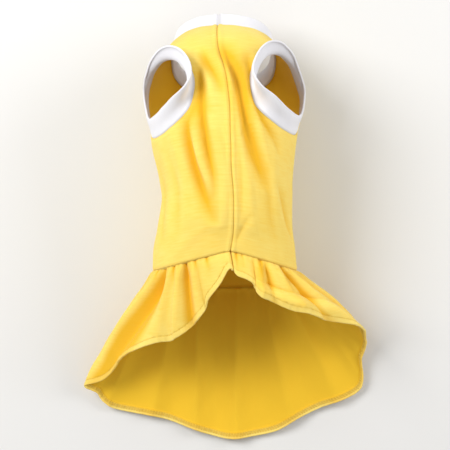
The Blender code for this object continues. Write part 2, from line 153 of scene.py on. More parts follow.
# start along, end along, turn at the start, one third, two thirds and the end, width, height
BODICE_FOLDS = np.array([
    (0.42, 0.86, -20.5, -28.8, -23.5, -5.5, 0.046, -0.050),
    (0.22, 0.78, -14.5, -15.6, -14.0, -9.0, 0.040, -0.046),
    (0.20, 0.44, -14.0, -10.0, -5.0, -0.5, 0.034, -0.026),
    (0.15, 0.74, -2.0, 8.0, 17.2, 32.0, 0.058, -0.066),
    (0.22, 0.62, 15.0, 18.4, 26.5, 49.0, 0.034, -0.044),
    (0.56, 0.86, 11.5, 11.0, 11.5, 13.0, 0.026, -0.010),
    (0.28, 0.66, 13.5, 18.0, 25.5, 37.0, 0.026, 0.022),
    (0.26, 0.68, -2.5, 6.2, 10.8, 13.5, 0.024, 0.020),
    (0.48, 0.88, -11.0, -3.5, -0.8, -0.5, 0.026, 0.022),
    (0.48, 0.77, -26.0, -24.5, -19.2, -12.5, 0.028, 0.022),
    (0.23, 0.48, -19.5, -14.5, -9.0, -5.5, 0.020, 0.016),
    (0.64, 0.90, 14.0, 17.0, 21.0, 26.0, 0.034, 0.014),
    (0.50, 0.84, -46.0, -41.0, -36.0, -30.0, 0.044, 0.014),
    (0.58, 0.90, -55.0, -49.0, -43.0, -36.0, 0.050, -0.010),
    (0.56, 0.84, 40.0, 42.0, 45.0, 50.0, 0.044, 0.010),
    (0.60, 0.92, 30.0, 36.0, 40.0, 44.0, 0.046, -0.012),
    (0.70, 0.88, 46.0, 56.0, 66.0, 78.0, 0.030, -0.018),
    (0.80, 0.96, 20.0, 15.0, 10.5, 6.5, 0.022, -0.010),
    (0.60, 0.92, -76.0, -72.0, -66.0, -58.0, 0.050, -0.012),
    (0.84, 0.99, -12.0, -22.0, -36.0, -52.0, 0.030, 0.003),
    (0.84, 0.99, 14.0, 24.0, 38.0, 52.0, 0.030, 0.003),
    (0.30, 0.86, 148.0, 155.0, 160.0, 166.0, 0.050, -0.014),
    (0.25, 0.84, -148.0, -154.0, -158.0, -162.0, 0.050, -0.014),
    (0.50, 0.97, 118.0, 122.0, 126.0, 130.0, 0.045, -0.012),
    (0.52, 0.97, -116.0, -120.0, -124.0, -128.0, 0.045, -0.012),
    (0.50, 0.94, 98.0, 102.0, 106.0, 110.0, 0.044, 0.010),
    (0.50, 0.94, -97.0, -100.0, -104.0, -108.0, 0.044, 0.010),
])
FOLD_FADE = 0.05
CREASE_ROUNDING = 0.45
CREASE_SHARE = 0.62
# Fold depth that gets the full painted fold shade
FOLD_SHADE_DEPTH = 0.0045
RIPPLE_HEIGHT = 0.00035
RIPPLE_SIZE = 0.006
SEAM_TUCK = 0.0015
SEAM_TUCK_WIDTH = 0.0015
# Width of the painted shade along seams and sewn edges
SEAM_SHADE_WIDTH = 0.0008
BODICE_ROWS = 150
BODICE_COLUMNS = 214
SEAM_COLUMNS = 25
SEAM_BAND = 4.0
BELLY_CROWDING = 0.30
CLOTH_DOWN = 1.15
# side, centre turn, centre along, half turn, half along, roundness
ARMHOLE_LEFT = (-60.5, 0.370, 39.5, 0.172, 0.93)
ARMHOLE_RIGHT = (59.0, 0.350, 41.0, 0.180, 0.95)
ARMHOLE_SPAN = 0.034
ARMHOLE_TURN_MARGIN = 1.17
ARMHOLE_ALONG_MARGIN = 1.28
ARMHOLE_RINGS = 7


def unit(vectors):
    """Each vector over its own length."""
    lengths = np.linalg.norm(vectors, axis=-1, keepdims=True)
    return vectors / np.maximum(lengths, 1e-12)


def smooth_rows(rows, where):
    """Catmull-Rom curve through evenly spaced rows, for where from 0 to 1."""
    last = len(rows) - 1
    spot = np.clip(where, 0.0, 1.0) * last
    low = np.minimum(spot.astype(int), last - 1)
    part = (spot - low)[..., None]
    before, start = rows[np.maximum(low - 1, 0)], rows[low]
    end, after = rows[low + 1], rows[np.minimum(low + 2, last)]
    curve = 2.0 * start + (end - before) * part
    curve = curve + (2.0 * before - 5.0 * start + 4.0 * end - after) * part ** 2
    return 0.5 * (curve + (3.0 * start - before - 3.0 * end + after) * part ** 3)


def bodice_loop(turn, along):
    """Loop between the belly line and the back line: a cosine up and a sine across, squared off."""
    row = smooth_rows(BODICE_LOOPS, along)
    middle = (row[..., 0:2] + row[..., 2:4]) / 2.0
    reach = (row[..., 0:2] - row[..., 2:4]) / 2.0
    cosine, sine = np.cos(turn), np.sin(turn)
    power = np.where(cosine > 0.0, row[..., 6], BACK_ROUNDNESS)
    up = np.sign(cosine) * np.abs(cosine) ** power
    side = np.sign(sine) * np.abs(sine) ** power
    from_peak = np.abs(np.sin(turn - math.radians(WAIST_PEAK_TURN) * cosine))
    straight = np.where(cosine > 0.0, 1.0 - from_peak, up)
    forward = up + (straight - up) * row[..., 7]
    return np.stack([(row[..., 5] + row[..., 4] * side) * CHEST_WIDTH,
                     (middle[..., 0] + reach[..., 0] * forward) * BODICE_LENGTH,
                     (middle[..., 1] + reach[..., 1] * up) * CHEST_DEPTH], axis=-1)


def seam_turn(along):
    """Turn of the belly seam, which wanders a little on its way down."""
    return np.radians(smooth_rows(SEAM_WANDER, along)[..., 0])


def wrap(turn):
    """Turn brought between minus and plus half a circle."""
    return (turn + math.pi) % (2.0 * math.pi) - math.pi


def bell(distance, width):
    """Bell curve, 1 in the middle."""
    return np.exp(-(distance / width) ** 2)


def crease(distance, width):
    """Curve with a tight middle and long soft sides, 1 in the middle: a rounded exponential."""
    return np.exp(CREASE_ROUNDING - np.sqrt((distance / width) ** 2 + CREASE_ROUNDING ** 2))


def valley(distance, width):
    """Half bell, half crease: a soft fold with a line down its middle."""
    return 0.5 * bell(distance, width) + 0.5 * crease(distance, CREASE_SHARE * width)


def soft_step(distance, spread):
    """1 before a place and 0 past it, by a hyperbolic tangent."""
    return 0.5 - 0.5 * np.tanh(distance / (2.0 * spread))


def ripple(across, down, size):
    """Unevenness of hand-sewn cloth: a few crossing waves of odd lengths, between about -1 and 1."""
    wave = np.sin(across / size + 1.7 * np.sin(down / size * 0.61 + 0.4))
    wave = wave + np.sin(down / size * 0.83 + 1.3 * np.sin(across / size * 0.47 + 2.1))
    return (wave + np.sin((across * 0.71 - down * 0.57) / size * 1.9 + 0.9)) / 3.0


def oval_distance(turn, along, oval):
    """Distance in metres from an armhole's edge, outwards, by how far past its oval the spot is."""
    power = 2.0 / oval[4]
    wide = np.abs(np.degrees(wrap(turn - math.radians(oval[0]))) / oval[2]) ** power
    high = np.abs((along - oval[1]) / oval[3]) ** power
    return ((wide + high) ** (1.0 / power) - 1.0) * ARMHOLE_SPAN


def edge_distance(turn, along):
    """Distance in metres from the nearest sewn edge of the bodice: neck, waist or armhole."""
    ends = np.minimum(along, 1.0 - along) * BODICE_LENGTH
    for oval in (ARMHOLE_LEFT, ARMHOLE_RIGHT):
        ends = np.minimum(ends, np.maximum(oval_distance(turn, along, oval), 0.0))
    return ends


def fold_shade_mark(relief):
    """How deep a spot lies in a fold for the painted fold shade, from 0 on the ridges to 1 in a full crease.
    """
    return np.clip(-relief / FOLD_SHADE_DEPTH, 0.0, 1.0)


def seam_shade_mark(turn, along):
    """How deep in a seam a spot lies for the painted seam shade, 1 at the belly seam's line and at each sewn
    edge.
    """
    line = np.abs(wrap(turn - seam_turn(along))) * CHEST_WIDTH / 2.0
    return np.maximum(bell(line, SEAM_SHADE_WIDTH), bell(edge_distance(turn, along), SEAM_SHADE_WIDTH))


def bodice_folds(turn, along):
    """Folds as curved lines down the cloth: creases are tight, ridges round, and all die out at both ends."""
    girth = CHEST_WIDTH / 2.0
    total = np.zeros(np.shape(turn))
    for row in BODICE_FOLDS:
        span = row[1] - row[0]
        share = np.clip((along - row[0]) / span, 0.0, 1.0)
        turns = row[2:6, None]
        step = 0.01
        line = smooth_rows(turns, share)[..., 0]
        lean = (smooth_rows(turns, share + step) - smooth_rows(turns, share - step))[..., 0] / (2.0 * step)
        slope = np.radians(lean) * girth / (span * BODICE_LENGTH)
        away = wrap(turn - np.radians(line)) * girth / np.sqrt(1.0 + slope ** 2)
        width = row[6] * CHEST_WIDTH
        shape = valley(away, width) if row[7] < 0.0 else bell(away, width)
        total = total + row[7] * CHEST_WIDTH * shape * np.sin(math.pi * share) ** 0.8
    return total * np.clip(np.minimum(along, 1.0 - along) / FOLD_FADE, 0.0, 1.0)


def bodice_relief(turn, along):
    """The folds, a fine ripple, the belly seam's groove and ridges, and edges tucked in at the seams."""
    girth = CHEST_WIDTH / 2.0
    fine = ripple(wrap(turn) * girth, along * BODICE_LENGTH, RIPPLE_SIZE)
    total = bodice_folds(turn, along) + RIPPLE_HEIGHT * fine
    seam = np.abs(wrap(turn - seam_turn(along))) * girth
    total = total - SEAM_GROOVE * bell(seam, SEAM_GROOVE_WIDTH)
    total = total + SEAM_RIDGE * bell(seam - SEAM_RIDGE_PLACE, SEAM_RIDGE_WIDTH)
    return total - SEAM_TUCK * bell(edge_distance(turn, along), SEAM_TUCK_WIDTH)


def frame_at(surface, turn, along):
    """Outward normal and the two tangents of a surface, by small steps."""
    step = 1e-4
    around = surface(turn + step, along) - surface(turn - step, along)
    down = surface(turn, np.clip(along + step, 0.0, 1.0)) - surface(turn, np.clip(along - step, 0.0, 1.0))
    return unit(np.cross(down, around)), unit(around), unit(down)


def bodice_surface(turn, along):
    """The loop pushed out along its own normal by the folds."""
    normal, _, _ = frame_at(bodice_loop, turn, along)
    return bodice_loop(turn, along) + normal * bodice_relief(turn, along)[..., None]


def armhole_edge(oval, angle):
    """Turn and along on an armhole's oval, at an angle round it."""
    wide = np.sign(np.cos(angle)) * np.abs(np.cos(angle)) ** oval[4]
    high = np.sign(np.sin(angle)) * np.abs(np.sin(angle)) ** oval[4]
    return math.radians(oval[0]) + math.radians(oval[2]) * wide, oval[1] + oval[3] * high


def closed_mesh(name, corners, faces, corner_uv, marks, finish):
    """Mesh object from arrays, with its cloth coordinates and its marks: inner side, and the painted shade
    and highlight at seams, folds and hem.
    """
    mesh = bpy.data.meshes.new(name)
    mesh.from_pydata(corners.tolist(), [], faces.tolist())
    layer = mesh.uv_layers.new(name="cloth")
    layer.data.foreach_set("uv", corner_uv.astype(np.float32).ravel())
    for label, values in marks.items():
        mark = mesh.attributes.new(label, "FLOAT", "POINT")
        mark.data.foreach_set("value", values.astype(np.float32))
    mesh.shade_smooth()
    mesh.materials.append(finish)
    made = bpy.data.objects.new(name, mesh)
    scene.collection.objects.link(made)
    return made


def seamless_uv(faces, across, down, total):
    """Cloth coordinates of each face corner, unrolled where a face crosses the start of the round."""
    wide = across[faces]
    wide = np.where(wide.max(axis=1, keepdims=True) - wide > total / 2.0, wide + total, wide)
    return np.stack([wide, down[faces]], axis=-1).reshape(-1, 2)


def bodice_grid():
    """Turn and along of the bodice's grid, its columns crowded at the belly and along the seam."""
    band = math.radians(SEAM_BAND)
    fine = np.linspace(-band, band, SEAM_COLUMNS)
    even = np.linspace(0.0, 1.0, BODICE_COLUMNS + 2)[1:-1]
    rest = band + (2.0 * math.pi - 2.0 * band) * even - BELLY_CROWDING * np.sin(2.0 * math.pi * even)
    offset = np.concatenate([fine, rest])
    offset = np.where(offset > math.pi, offset - 2.0 * math.pi, offset)
    along = np.linspace(0.0, 1.0, BODICE_ROWS)
    follow = np.cos(offset / 2.0) ** 6
    turn = offset[None, :] + seam_turn(along)[:, None] * follow[None, :]
    return turn, np.broadcast_to(along[:, None], turn.shape)


def ring_quads(ring, fresh):
    """Quads between two closed rings of corners."""
    return np.stack([ring, fresh, np.roll(fresh, -1), np.roll(ring, -1)], axis=-1).reshape(-1, 4)


def make_bodice_mesh(finish):
    """Grid from neck to waist, with rings of quads that lead in to each armhole, then both walls."""
    turn, along = bodice_grid()
    rows, columns = turn.shape
    number = np.arange(rows * columns).reshape(rows, columns)
    quads = np.stack([number[:-1], number[1:], np.roll(number, -1, 1)[1:], np.roll(number, -1, 1)[:-1]], -1)
    opened = np.zeros((rows - 1, columns), dtype=bool)
    turns, alongs, rings = turn.ravel(), along.ravel(), []
    for oval in (ARMHOLE_LEFT, ARMHOLE_RIGHT):
        middle = turn[rows // 2]
        across = np.abs(middle - math.radians(oval[0])) <= math.radians(oval[2]) * ARMHOLE_TURN_MARGIN
        block = np.where(across)[0]
        block = block[np.argsort(middle[block])]
        span = np.where(np.abs(along[:, 0] - oval[1]) <= oval[3] * ARMHOLE_ALONG_MARGIN)[0]
        opened[np.ix_(span[:-1], block[:-1])] = True
        border = np.concatenate([number[span[0], block], number[span[1:], block[-1]],
                                 number[span[-1], block[-2::-1]], number[span[-2:0:-1], block[0]]])
        start_turn, start_along = turns[border], alongs[border]
        angle = np.arctan2((start_along - oval[1]) / oval[3],
                           (start_turn - math.radians(oval[0])) / math.radians(oval[2]))
        end_turn, end_along = armhole_edge(oval, angle)
        ring = border
        for step in range(1, ARMHOLE_RINGS + 1):
            share = step / ARMHOLE_RINGS
            fresh = len(turns) + np.arange(len(border))
            turns = np.append(turns, start_turn + (end_turn - start_turn) * share)
            alongs = np.append(alongs, start_along + (end_along - start_along) * share)
            rings.append(ring_quads(ring, fresh))
            ring = fresh
    faces = np.concatenate([quads.reshape(-1, 4)[~opened.ravel()]] + rings)
    points = bodice_surface(turns, alongs)
    normals, _, _ = frame_at(bodice_surface, turns, alongs)
    # Marks for painted shade at the seams and in the folds
    return double_wall("bodice_jersey", points, normals, faces, wrap(turns) * CHEST_WIDTH / 2.0,
                       alongs * BODICE_LENGTH * CLOTH_DOWN, math.pi * CHEST_WIDTH,
                       {"seam": seam_shade_mark(turns, alongs), "fold_shade": fold_shade_mark(bodice_folds(turns, alongs))},
                       finish)


def double_wall(name, points, normals, faces, across, down, total, marks, finish):
    """Outer and inner side of a sheet, and a rim along each open edge."""
    wall = JERSEY_WALL
    count = len(points)
    corners = np.concatenate([points + normals * wall / 2.0, points - normals * wall / 2.0])
    edges = np.stack([faces, np.roll(faces, -1, axis=1)], axis=-1).reshape(-1, 2)
    size = 2 * count
    key = edges[:, 0] * size + edges[:, 1]
    free = edges[~np.isin(key, edges[:, 1] * size + edges[:, 0])]
    rim = np.stack([free[:, 1], free[:, 0], free[:, 0] + count, free[:, 1] + count], axis=-1)
    used, compact = np.unique(np.concatenate([faces, faces[:, ::-1] + count, rim]), return_inverse=True)
    every = compact.reshape(-1, 4)
    doubled = {label: np.tile(values, 2)[used] for label, values in marks.items()}
    doubled["inside"] = (used >= count).astype(float)
    uv = seamless_uv(every, np.tile(across, 2)[used], np.tile(down, 2)[used], total)
    return closed_mesh(name, corners[used], every, uv, doubled, finish)


# Jersey: fine plain knit in warm yellow, small upright loops on the outside and rows of
# purl bumps on the inside, matt with a soft fuzz. The bodice and the skirt share it.
# Shade is painted into it: deeper in the folds, darker in the seams and under the overlock; the puffed hem is
# painted paler as a highlight.
WALE = 0.00105
COURSE = 0.00080
YELLOW = (0.940, 0.635, 0.085)
# Paler yellow for random streaks and clouds, and the painted highlight on loop tops and the puffed hem
YELLOW_PALE = (0.990, 0.790, 0.230)
# Painted shade in the folds and gathers
YELLOW_FOLD_SHADE = (0.880, 0.470, 0.004)
# The purl side's deeper yellow, deepened further as painted shade and painted glow of light through the cloth
YELLOW_INSIDE_PURL_AND_SHADE = (0.850, 0.530, 0.030)
# Painted shade in the seams and under the overlock
YELLOW_SEAM_SHADE = (0.560, 0.330, 0.020)
SHEEN_YELLOW = (1.0, 0.93, 0.62, 1.0)
LOOP_SLANT = 0.6
STREAK_SCALE = (60.0, 620.0, 1.0)
CLOUD_SCALE = 35.0
STREAK_SHARE = 0.45
CLOUD_SHARE = 0.20
# Share of the painted highlight on the loop tops
LOOP_HIGHLIGHT_SHARE = 0.35
# Share of the painted shade in the folds
FOLD_SHADE_SHARE = 0.85
# Share of the painted highlight on the puffed hem
HEM_HIGHLIGHT_SHARE = 0.4
# Share of the painted shade in the seams
SEAM_SHADE_SHARE = 0.55
# Share of the painted shade under the overlock
OVERLOCK_SHADE_SHARE = 0.45
KNIT_BUMP = 0.00025


def add_node(tree, kind, **settings):
    """Node of one kind with its settings."""
    node = tree.nodes.new(kind)
    for key, value in settings.items():
        setattr(node, key, value)
    return node


def math_node(tree, operation, first, second=0.0):
    """Arithmetic on two sockets or numbers; gives the result's socket."""
    node = add_node(tree, "ShaderNodeMath", operation=operation)
    for slot_number, value in enumerate((first, second)):
        if isinstance(value, (int, float)):
            node.inputs[slot_number].default_value = value
        else:
            tree.links.new(value, node.inputs[slot_number])
    return node.outputs[0]


def times(tree, first, second):
    """Product of two sockets or numbers."""
    return math_node(tree, "MULTIPLY", first, second)


def plus(tree, first, second):
    """Sum of two sockets or numbers."""
    return math_node(tree, "ADD", first, second)


def mark_socket(tree, label):
    """Socket of one of the mesh's own marks."""
    return add_node(tree, "ShaderNodeAttribute", attribute_name=label).outputs["Fac"]


def group_with(name, inputs, outputs):
    """Empty shader group with named number inputs and outputs."""
    group = bpy.data.node_groups.new(name, "ShaderNodeTree")
    for label, value in inputs:
        made = group.interface.new_socket(name=label, in_out="INPUT", socket_type="NodeSocketFloat")
        made.default_value = value
    for label in outputs:
        group.interface.new_socket(name=label, in_out="OUTPUT", socket_type="NodeSocketFloat")
    return group, add_node(group, "NodeGroupInput"), add_node(group, "NodeGroupOutput")


def make_knit_group():
    """Knit height: V-shaped loops outside, rows of rounded bumps inside, by wale and course."""
    group, given, result = group_with("knit_stitches", [("Across", 0.0), ("Down", 0.0), ("Wale", WALE),
                                                        ("Course", COURSE), ("Inside", 0.0)], ["Height"])
    wales = math_node(group, "DIVIDE", given.outputs["Across"], given.outputs["Wale"])
    courses = math_node(group, "DIVIDE", given.outputs["Down"], given.outputs["Course"])
    centred = math_node(group, "SUBTRACT", math_node(group, "FRACT", wales), 0.5)
    from_middle = math_node(group, "ABSOLUTE", centred)
    leg = times(group, from_middle, 2.0)
    slanted = plus(group, courses, times(group, leg, LOOP_SLANT))
    wave = math_node(group, "SINE", times(group, slanted, 2.0 * math.pi))
    body = math_node(group, "SINE", times(group, leg, math.pi))
    loops = times(group, body, plus(group, times(group, wave, 0.3), 0.7))
    rows = math_node(group, "SINE", times(group, courses, 2.0 * math.pi))
    humps = math_node(group, "COSINE", times(group, wales, 2.0 * math.pi))
    purl = plus(group, times(group, rows, 0.3), times(group, humps, 0.15))
    purl = plus(group, purl, 0.5)
    share = given.outputs["Inside"]
    kept = times(group, loops, math_node(group, "SUBTRACT", 1.0, share))
    group.links.new(plus(group, kept, times(group, purl, share)),
                    result.inputs["Height"])
    return group


def mix_colours(tree, share, first, second):
    """Blend of two colours or colour sockets by a share."""
    node = add_node(tree, "ShaderNodeMix", data_type="RGBA")
    tree.links.new(share, node.inputs["Factor"])
    for socket, value in ((node.inputs["A"], first), (node.inputs["B"], second)):
        if isinstance(value, tuple):
            socket.default_value = value + (1.0,)
        else:
            tree.links.new(value, socket)
    return node.outputs["Result"]


def noise_share(tree, vector, scale, low, high, detail=3.0):
    """Noise between 0 and 1, spread between a low and a high level."""
    noise = add_node(tree, "ShaderNodeTexNoise")
    noise.inputs["Scale"].default_value = scale
    noise.inputs["Detail"].default_value = detail
    tree.links.new(vector, noise.inputs["Vector"])
    spread = add_node(tree, "ShaderNodeMapRange")
    spread.inputs["From Min"].default_value = low
    spread.inputs["From Max"].default_value = high
    tree.links.new(noise.outputs["Fac"], spread.inputs["Value"])
    return spread.outputs["Result"]


def cloth_coordinates(tree):
    """Sockets with the cloth's coordinates, whole and split, and the marks of inner side and seam."""
    uv = add_node(tree, "ShaderNodeUVMap", uv_map="cloth")
    split = add_node(tree, "ShaderNodeSeparateXYZ")
    tree.links.new(uv.outputs["UV"], split.inputs["Vector"])
    return (uv.outputs["UV"], split.outputs["X"], split.outputs["Y"], mark_socket(tree, "inside"),
            mark_socket(tree, "seam"))


def set_bump(tree, height, distance, strength):
    """Bump from a height in stitches to the shader's normal."""
    bump = add_node(tree, "ShaderNodeBump")
    bump.inputs["Strength"].default_value = strength
    bump.inputs["Distance"].default_value = distance
    tree.links.new(height, bump.inputs["Height"])
    tree.links.new(bump.outputs["Normal"], tree.nodes["Principled BSDF"].inputs["Normal"])


knit_group = make_knit_group()


def jersey_material(name):
    """Yellow jersey: knit bump, loop tops painted paler as a highlight, faint streaks along the courses, and
    the marks' painted shade and highlight.
    """
    made = plain_material(name, YELLOW + (1.0,), 0.82)
    tree = made.node_tree
    shader = tree.nodes["Principled BSDF"]
    vector, across, down, inside, seam = cloth_coordinates(tree)
    knit = add_node(tree, "ShaderNodeGroup", node_tree=knit_group)
    for socket, value in (("Across", across), ("Down", down), ("Inside", inside)):
        tree.links.new(value, knit.inputs[socket])
    streaks = add_node(tree, "ShaderNodeMapping")
    streaks.inputs["Scale"].default_value = STREAK_SCALE
    tree.links.new(vector, streaks.inputs["Vector"])
    streak = noise_share(tree, streaks.outputs["Vector"], 1.0, 0.25, 0.75)
    cloud = noise_share(tree, vector, CLOUD_SCALE, 0.3, 0.7)
    # Random paler streaks and clouds, and loop tops painted paler as a highlight
    mixed = plus(tree, times(tree, streak, STREAK_SHARE), times(tree, cloud, CLOUD_SHARE))
    mixed = plus(tree, mixed, times(tree, knit.outputs["Height"], LOOP_HIGHLIGHT_SHARE))
    outer = mix_colours(tree, mixed, YELLOW, YELLOW_PALE)
    # Painted shade: deeper orange in the folds and gathers
    shade_in_folds = times(tree, mark_socket(tree, "fold_shade"), FOLD_SHADE_SHARE)
    outer = mix_colours(tree, shade_in_folds, outer, YELLOW_FOLD_SHADE)
    # Painted highlight: the puffed turned hem is paler on the outside
    hem = mark_socket(tree, "hem")
    outer = mix_colours(tree, times(tree, hem, HEM_HIGHLIGHT_SHARE), outer, YELLOW_PALE)
    # The inner side: the purl side's deeper yellow with painted shade, except inside the turned hem
    reverse = times(tree, inside, math_node(tree, "SUBTRACT", 1.0, hem))
    sided = mix_colours(tree, reverse, outer, YELLOW_INSIDE_PURL_AND_SHADE)
    # Painted shade under the overlock on the inner side of the hem
    inner_overlock_shade = times(tree, mark_socket(tree, "overlock_shade"), inside)
    # Painted shade: darker in the seams and under the overlock
    depth = math_node(tree, "MAXIMUM", times(tree, seam, SEAM_SHADE_SHARE), times(tree, inner_overlock_shade, OVERLOCK_SHADE_SHARE))
    tree.links.new(mix_colours(tree, depth, sided, YELLOW_SEAM_SHADE), shader.inputs["Base Color"])
    shader.inputs["Sheen Weight"].default_value = 0.38
    shader.inputs["Sheen Roughness"].default_value = 0.35
    shader.inputs["Sheen Tint"].default_value = SHEEN_YELLOW
    shader.inputs["Specular IOR Level"].default_value = 0.15
    set_bump(tree, knit.outputs["Height"], KNIT_BUMP, 0.55)
    return made


jersey = jersey_material("yellow_jersey")
bodice = make_bodice_mesh(jersey)
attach(bodice, "root")
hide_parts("bodice")

# White trims: a strip of fine rib folded double and sewn on by its two raw edges, so each
# stands a little proud of the seam and closes in a round fold. The collar's join shows as
# a fine line beside the belly seam.
RIB_WALL = 0.0021
COLLAR_HEIGHT = 0.020
COLLAR_LEAN = 0.12
COLLAR_COLUMNS = 360
COLLAR_ROWS = 26
COLLAR_JOIN_TURN = -2.4
JOIN_GROOVE = 0.0006
JOIN_WIDTH = 0.0007
# Width of the painted shade along the trims' seams
TRIM_SHADE_WIDTH = 0.0011
BAND_PUFF = 0.0007
ROUND_STEPS = 5
RIB_PITCH = 0.0013
WHITE = (0.83, 0.83, 0.875)
# Painted shade in the rib's furrows
WHITE_FURROW_SHADE = (0.75, 0.75, 0.81)
# Painted shade in the trims' seams and the collar's join
WHITE_SEAM_SHADE = (0.42, 0.41, 0.42)
WHITE_CLOUD_SCALE = 60.0
# Share of the rib's painted furrow shade; the rest is random clouds
RIDGE_SHARE = 0.7
# Share of the painted shade in the trims' seams
TRIM_SEAM_SHADE_SHARE = 0.6
RIB_BUMP = 0.0003


def grid_normals(grid):
    """Outward normals of a grid that closes round its columns."""
    around = np.roll(grid, -1, axis=1) - np.roll(grid, 1, axis=1)
    return unit(np.cross(unit(np.gradient(grid, axis=0)), unit(around)))


def rounded_wall(name, grid, normals, wall, across, down, total, marks, finish):
    """Wall of a closed-round grid: outer side, a half-round edge at both ends, and the inner side."""
    half = (np.zeros(grid.shape[:2]) + wall)[..., None] / 2.0
    outer, inner = grid + normals * half, grid - normals * half
    angles = np.linspace(0.0, math.pi, ROUND_STEPS + 2)[1:-1]
    last, first = unit(grid[-1] - grid[-2]), unit(grid[0] - grid[1])
    end = [grid[-1] + (normals[-1] * math.cos(a) + last * math.sin(a)) * half[-1] for a in angles]
    start = [grid[0] + (normals[0] * math.cos(a) + first * math.sin(a)) * half[0] for a in angles[::-1]]
    rings = np.concatenate([outer, np.array(end), inner[::-1], np.array(start)])
    rows, columns = rings.shape[:2]
    spread = {label: np.concatenate([part, np.repeat(part[-1:], ROUND_STEPS, 0), part[::-1],
                                     np.repeat(part[:1], ROUND_STEPS, 0)]).ravel()
              for label, part in {**marks, "down": down, "across": across}.items()}
    count = len(grid)
    inside = np.zeros((rows, columns))
    inside[count + ROUND_STEPS // 2 + 1:2 * count + ROUND_STEPS + ROUND_STEPS // 2] = 1.0
    number = np.arange(rows * columns).reshape(rows, columns)
    faces = ring_quads(number, np.roll(number, -1, axis=0))
    uv = seamless_uv(faces, spread.pop("across"), spread.pop("down"), total)
    return closed_mesh(name, rings.reshape(-1, 3), faces, uv, {**spread, "inside": inside.ravel()}, finish)


def make_rib_group():
    """Rib height: rounded ridges side by side, with small stitches up each ridge."""
    group, given, result = group_with("rib_ridges", [("Across", 0.0), ("Down", 0.0), ("Pitch", RIB_PITCH)],
                                      ["Height"])
    phase = math_node(group, "DIVIDE", given.outputs["Across"], given.outputs["Pitch"])
    ridge = math_node(group, "COSINE", times(group, phase, 2.0 * math.pi))
    rows = math_node(group, "DIVIDE", given.outputs["Down"], COURSE)
    stitch = math_node(group, "SINE", times(group, rows, 2.0 * math.pi))
    tall = plus(group, times(group, ridge, 0.4), 0.5)
    group.links.new(plus(group, tall, times(group, stitch, 0.1)),
                    result.inputs["Height"])
    return group


def rib_material(name):
    """White rib: ridges up the trim, painted cooler and darker in the furrows as shade, with faint clouds."""
    made = plain_material(name, WHITE + (1.0,), 0.78)
    tree = made.node_tree
    shader = tree.nodes["Principled BSDF"]
    vector, across, down, _, seam = cloth_coordinates(tree)
    ribs = add_node(tree, "ShaderNodeGroup", node_tree=make_rib_group())
    tree.links.new(across, ribs.inputs["Across"])
    tree.links.new(down, ribs.inputs["Down"])
    cloud = noise_share(tree, vector, WHITE_CLOUD_SCALE, 0.3, 0.7)
    # Painted shade: furrows between the ribs darker and cooler, mixed with random clouds
    mixed = plus(tree, times(tree, ribs.outputs["Height"], RIDGE_SHARE),
                 times(tree, cloud, 1.0 - RIDGE_SHARE))
    # Painted shade at the sewn edge and the collar's join
    depth = times(tree, seam, TRIM_SEAM_SHADE_SHARE)
    tree.links.new(mix_colours(tree, depth, mix_colours(tree, mixed, WHITE_FURROW_SHADE, WHITE), WHITE_SEAM_SHADE),
                   shader.inputs["Base Color"])
    shader.inputs["Sheen Weight"].default_value = 0.2
    shader.inputs["Sheen Roughness"].default_value = 0.5
    shader.inputs["Specular IOR Level"].default_value = 0.25
    set_bump(tree, ribs.outputs["Height"], RIB_BUMP, 0.5)
    return made


def arc_lengths(loop):
    """Distance round a closed loop of points, and its whole length."""
    steps = np.linalg.norm(np.roll(loop, -1, axis=0) - loop, axis=1)
    return np.concatenate([[0.0], np.cumsum(steps)[:-1]]), steps.sum()


def trim_profile(rows):
    """Shares up a trim and its swelling: quick out of the seam, full in the middle."""
    share = np.linspace(0.0, 1.0, rows)
    return share, BAND_PUFF * np.sin(math.pi * np.clip(share, 0.0, 1.0)) ** 0.6


rib = rib_material("white_rib")


def make_collar(finish):
    """Ring on the neck edge that turns from the bodice's direction to the neck's axis."""
    turns = np.arange(COLLAR_COLUMNS) * 2.0 * math.pi / COLLAR_COLUMNS
    start = np.zeros(COLLAR_COLUMNS)
    edge = bodice_surface(turns, start)
    normal, _, down = frame_at(bodice_loop, turns, start)
    belly, back = bodice_loop(np.array([0.0, math.pi]), np.zeros(2))
    axis = unit(np.cross(np.array([1.0, 0.0, 0.0]), belly - back))
    axis = axis * math.copysign(1.0, axis[1])
    from_middle = edge - edge.mean(axis=0)
    outward = unit(from_middle - (from_middle @ axis)[:, None] * axis)
    share, puff = trim_profile(COLLAR_ROWS)
    share, puff = share[:, None, None], puff[:, None, None]
    heading = unit(-down * (1.0 - share) + (axis - COLLAR_LEAN * outward) * share)
    wall = unit(normal * (1.0 - share) + outward * share)
    across, total = arc_lengths(edge)
    groove = JOIN_GROOVE * bell(wrap(turns - math.radians(COLLAR_JOIN_TURN)) * CHEST_WIDTH / 3.0, JOIN_WIDTH)
    grid = edge + heading * (COLLAR_HEIGHT * share) + wall * (puff - groove[None, :, None])
    lengths = share[:, :, 0] * COLLAR_HEIGHT + np.zeros((1, COLLAR_COLUMNS))
    # Painted shade along the sewn edge and in the join's groove
    seam = np.maximum(bell(lengths, TRIM_SHADE_WIDTH), groove[None, :] / JOIN_GROOVE)
    return rounded_wall("collar_rib", grid[::-1], grid_normals(grid[::-1]), RIB_WALL,
                        np.tile(across, (COLLAR_ROWS, 1)), lengths[::-1], total, {"seam": seam[::-1]}, finish)


collar = make_collar(rib)
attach(collar, "root")
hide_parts("collar_band")

